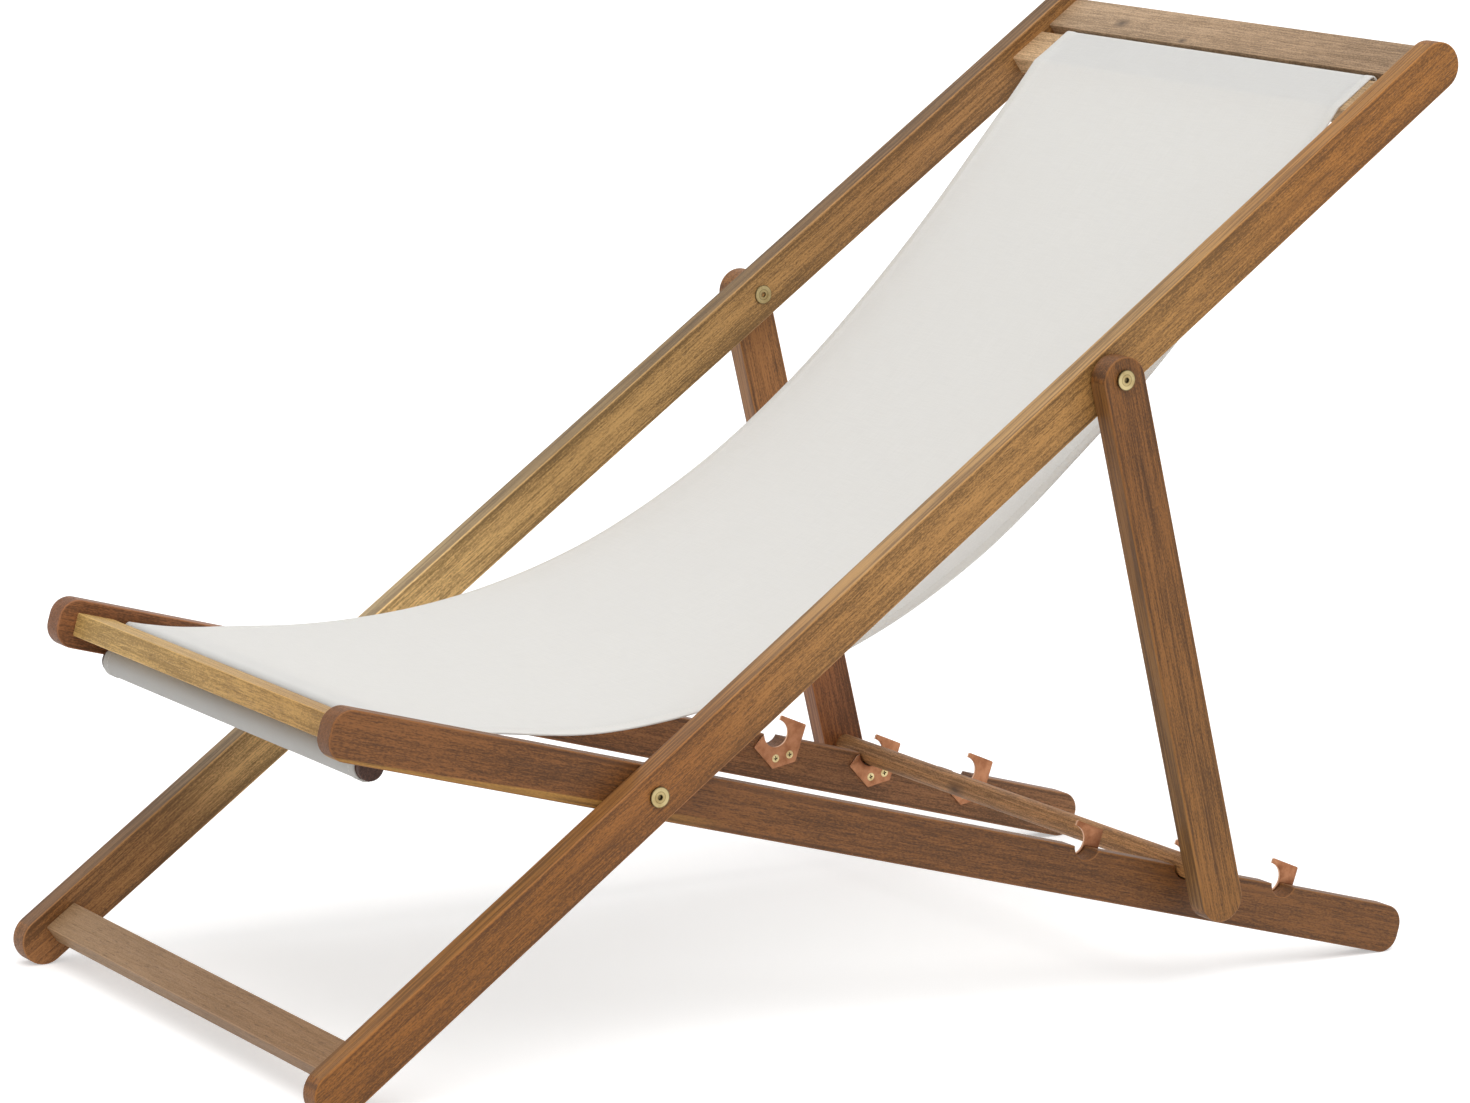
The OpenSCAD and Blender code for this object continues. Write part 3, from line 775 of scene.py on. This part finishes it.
def make_sling(width):
    path, share = sling_path()
    left, right = lifted(LEFT_EDGE, share), lifted(RIGHT_EDGE, share)
    count = len(path)
    length = [0.0]
    for a, b in zip(path, path[1:]):
        length.append(length[-1] + (b - a).length)
    total = length[-1]
    normals = []
    for i in range(count):
        d = (path[min(i + 1, count - 1)] - path[max(i - 1, 0)]).normalized()
        normals.append(Vector((-d.y, d.x)))

    # One turn round the cloth's section: distance across, and offset from the middle line
    half, flat, hem_end = width / 2, CLOTH_T / 2, HEM_W + 0.8 * MM
    insets = (0.2 * MM, 0.6 * MM, 4 * MM, HEM_W - 2 * MM, HEM_W - 1.2 * MM, HEM_W)
    rises = (0.7, 1, 1, 1, 1, 0.9)
    edge = [(0, 0)] + [(x, (flat + HEM_T) * k) for x, k in zip(insets, rises)] + [(hem_end, flat)]
    inner = [hem_end - half + (width - 2 * hem_end) * i / INNER_COLUMNS for i in range(1, INNER_COLUMNS)]
    top = [(x - half, h) for x, h in edge] + [(x, flat) for x in inner]
    top += [(half - x, h) for x, h in reversed(edge)]
    section = top + [(x, -h) for x, h in reversed(top[1:-1])]

    bm = bmesh.new()
    grain = bm.verts.layers.float_vector.new("grain")
    rows = []
    for p, n, s, t, at_left, at_right in zip(path, normals, length, share, left, right):
        free = min(1, max(0, 6 * t), 6 * (1 - t))
        free *= free * (3 - 2 * free)
        shift = TOP_SHIFT * s / total
        row = []
        for x, h in section:
            curl = max(0, abs(x) - half + CURL_W) / CURL_W
            edge_height = at_left + (at_right - at_left) * (x / half + 1) / 2
            q = p + n * (h + edge_height + CURL * free * (1 - curl ** 2))
            v = bm.verts.new((x + shift, q.x, q.y))
            v[grain] = (s, x, half - abs(x))
            row.append(v)
        rows.append(row)
    around = len(section)
    for a, b in zip(rows, rows[1:]):
        for k in range(around):
            m = (k + 1) % around
            bm.faces.new((a[k], b[k], b[m], a[m]))
    bm.faces.new(rows[0])
    bm.faces.new(list(reversed(rows[-1])))
    bmesh.ops.recalc_face_normals(bm, faces=bm.faces)
    piece = add_object("sling", bm, None, canvas("sling_canvas", srgb(224, 222, 217)))
    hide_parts("sling_seat", "sling_bend", "sling_back")
    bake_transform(piece)
    return piece


sling_low, sling_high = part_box("sling_back")
make_sling(sling_high.x - sling_low.x)


# ---- Floor and light ----
FLOOR_SIZE = 60
FLOOR_GREY = 0.86
FLOOR_GLOW = 0.42       # makes the floor white in the picture, without lighting anything
SKY_LIGHT = 0.68


def make_floor():
    n = Nodes("floor")
    diffuse = n.tree.nodes.new("ShaderNodeBsdfDiffuse")
    diffuse.inputs["Color"].default_value = (FLOOR_GREY, FLOOR_GREY, FLOOR_GREY, 1)
    glow = n.tree.nodes.new("ShaderNodeEmission")
    ray = n.tree.nodes.new("ShaderNodeLightPath")
    seen = n.math("MAXIMUM", ray.outputs["Is Camera Ray"], ray.outputs["Is Glossy Ray"])
    seen = n.math("MAXIMUM", seen, ray.outputs["Is Transmission Ray"])
    n.link(n.math("MULTIPLY", seen, FLOOR_GLOW), glow.inputs["Strength"])
    both = n.tree.nodes.new("ShaderNodeAddShader")
    n.link(diffuse.outputs[0], both.inputs[0])
    n.link(glow.outputs[0], both.inputs[1])
    n.link(both.outputs[0], n.output.inputs[0])
    bpy.ops.mesh.primitive_plane_add(size=FLOOR_SIZE, location=(0, 0, 0))
    floor = bpy.context.object
    floor.name = "floor"
    floor.data.materials.append(n.material)


def make_world():
    """White to the camera and in reflections, and a softer light on everything."""
    world = bpy.data.worlds.new("studio")
    bpy.context.scene.world = world
    world.use_nodes = True
    tree = world.node_tree
    tree.nodes.clear()
    ray = tree.nodes.new("ShaderNodeLightPath")
    lit = tree.nodes.new("ShaderNodeBackground")
    lit.inputs["Color"].default_value = (1, 1, 1, 1)
    lit.inputs["Strength"].default_value = SKY_LIGHT
    seen = tree.nodes.new("ShaderNodeBackground")
    seen.inputs["Strength"].default_value = 1
    seen.inputs["Color"].default_value = (1, 1, 1, 1)
    any_seen = tree.nodes.new("ShaderNodeMath")
    any_seen.operation = "MAXIMUM"
    tree.links.new(ray.outputs["Is Camera Ray"], any_seen.inputs[0])
    tree.links.new(ray.outputs["Is Glossy Ray"], any_seen.inputs[1])
    mix = tree.nodes.new("ShaderNodeMixShader")
    tree.links.new(any_seen.outputs[0], mix.inputs[0])
    tree.links.new(lit.outputs[0], mix.inputs[1])
    tree.links.new(seen.outputs[0], mix.inputs[2])
    out = tree.nodes.new("ShaderNodeOutputWorld")
    tree.links.new(mix.outputs[0], out.inputs[0])


def make_sun(name, towards, angle, power):
    """Sun lamp that shines from the direction towards, angle degrees wide."""
    data = bpy.data.lights.new(name, "SUN")
    data.energy = power
    data.angle = math.radians(angle)
    lamp = bpy.data.objects.new(name, data)
    lamp.rotation_mode = "QUATERNION"
    lamp.rotation_quaternion = Vector(towards).to_track_quat("Z", "Y")
    bpy.context.scene.collection.objects.link(lamp)


make_floor()
make_world()
make_sun("key", (0.38, -0.05, 0.92), 55, 1.4)
bpy.context.scene.view_settings.view_transform = "Standard"
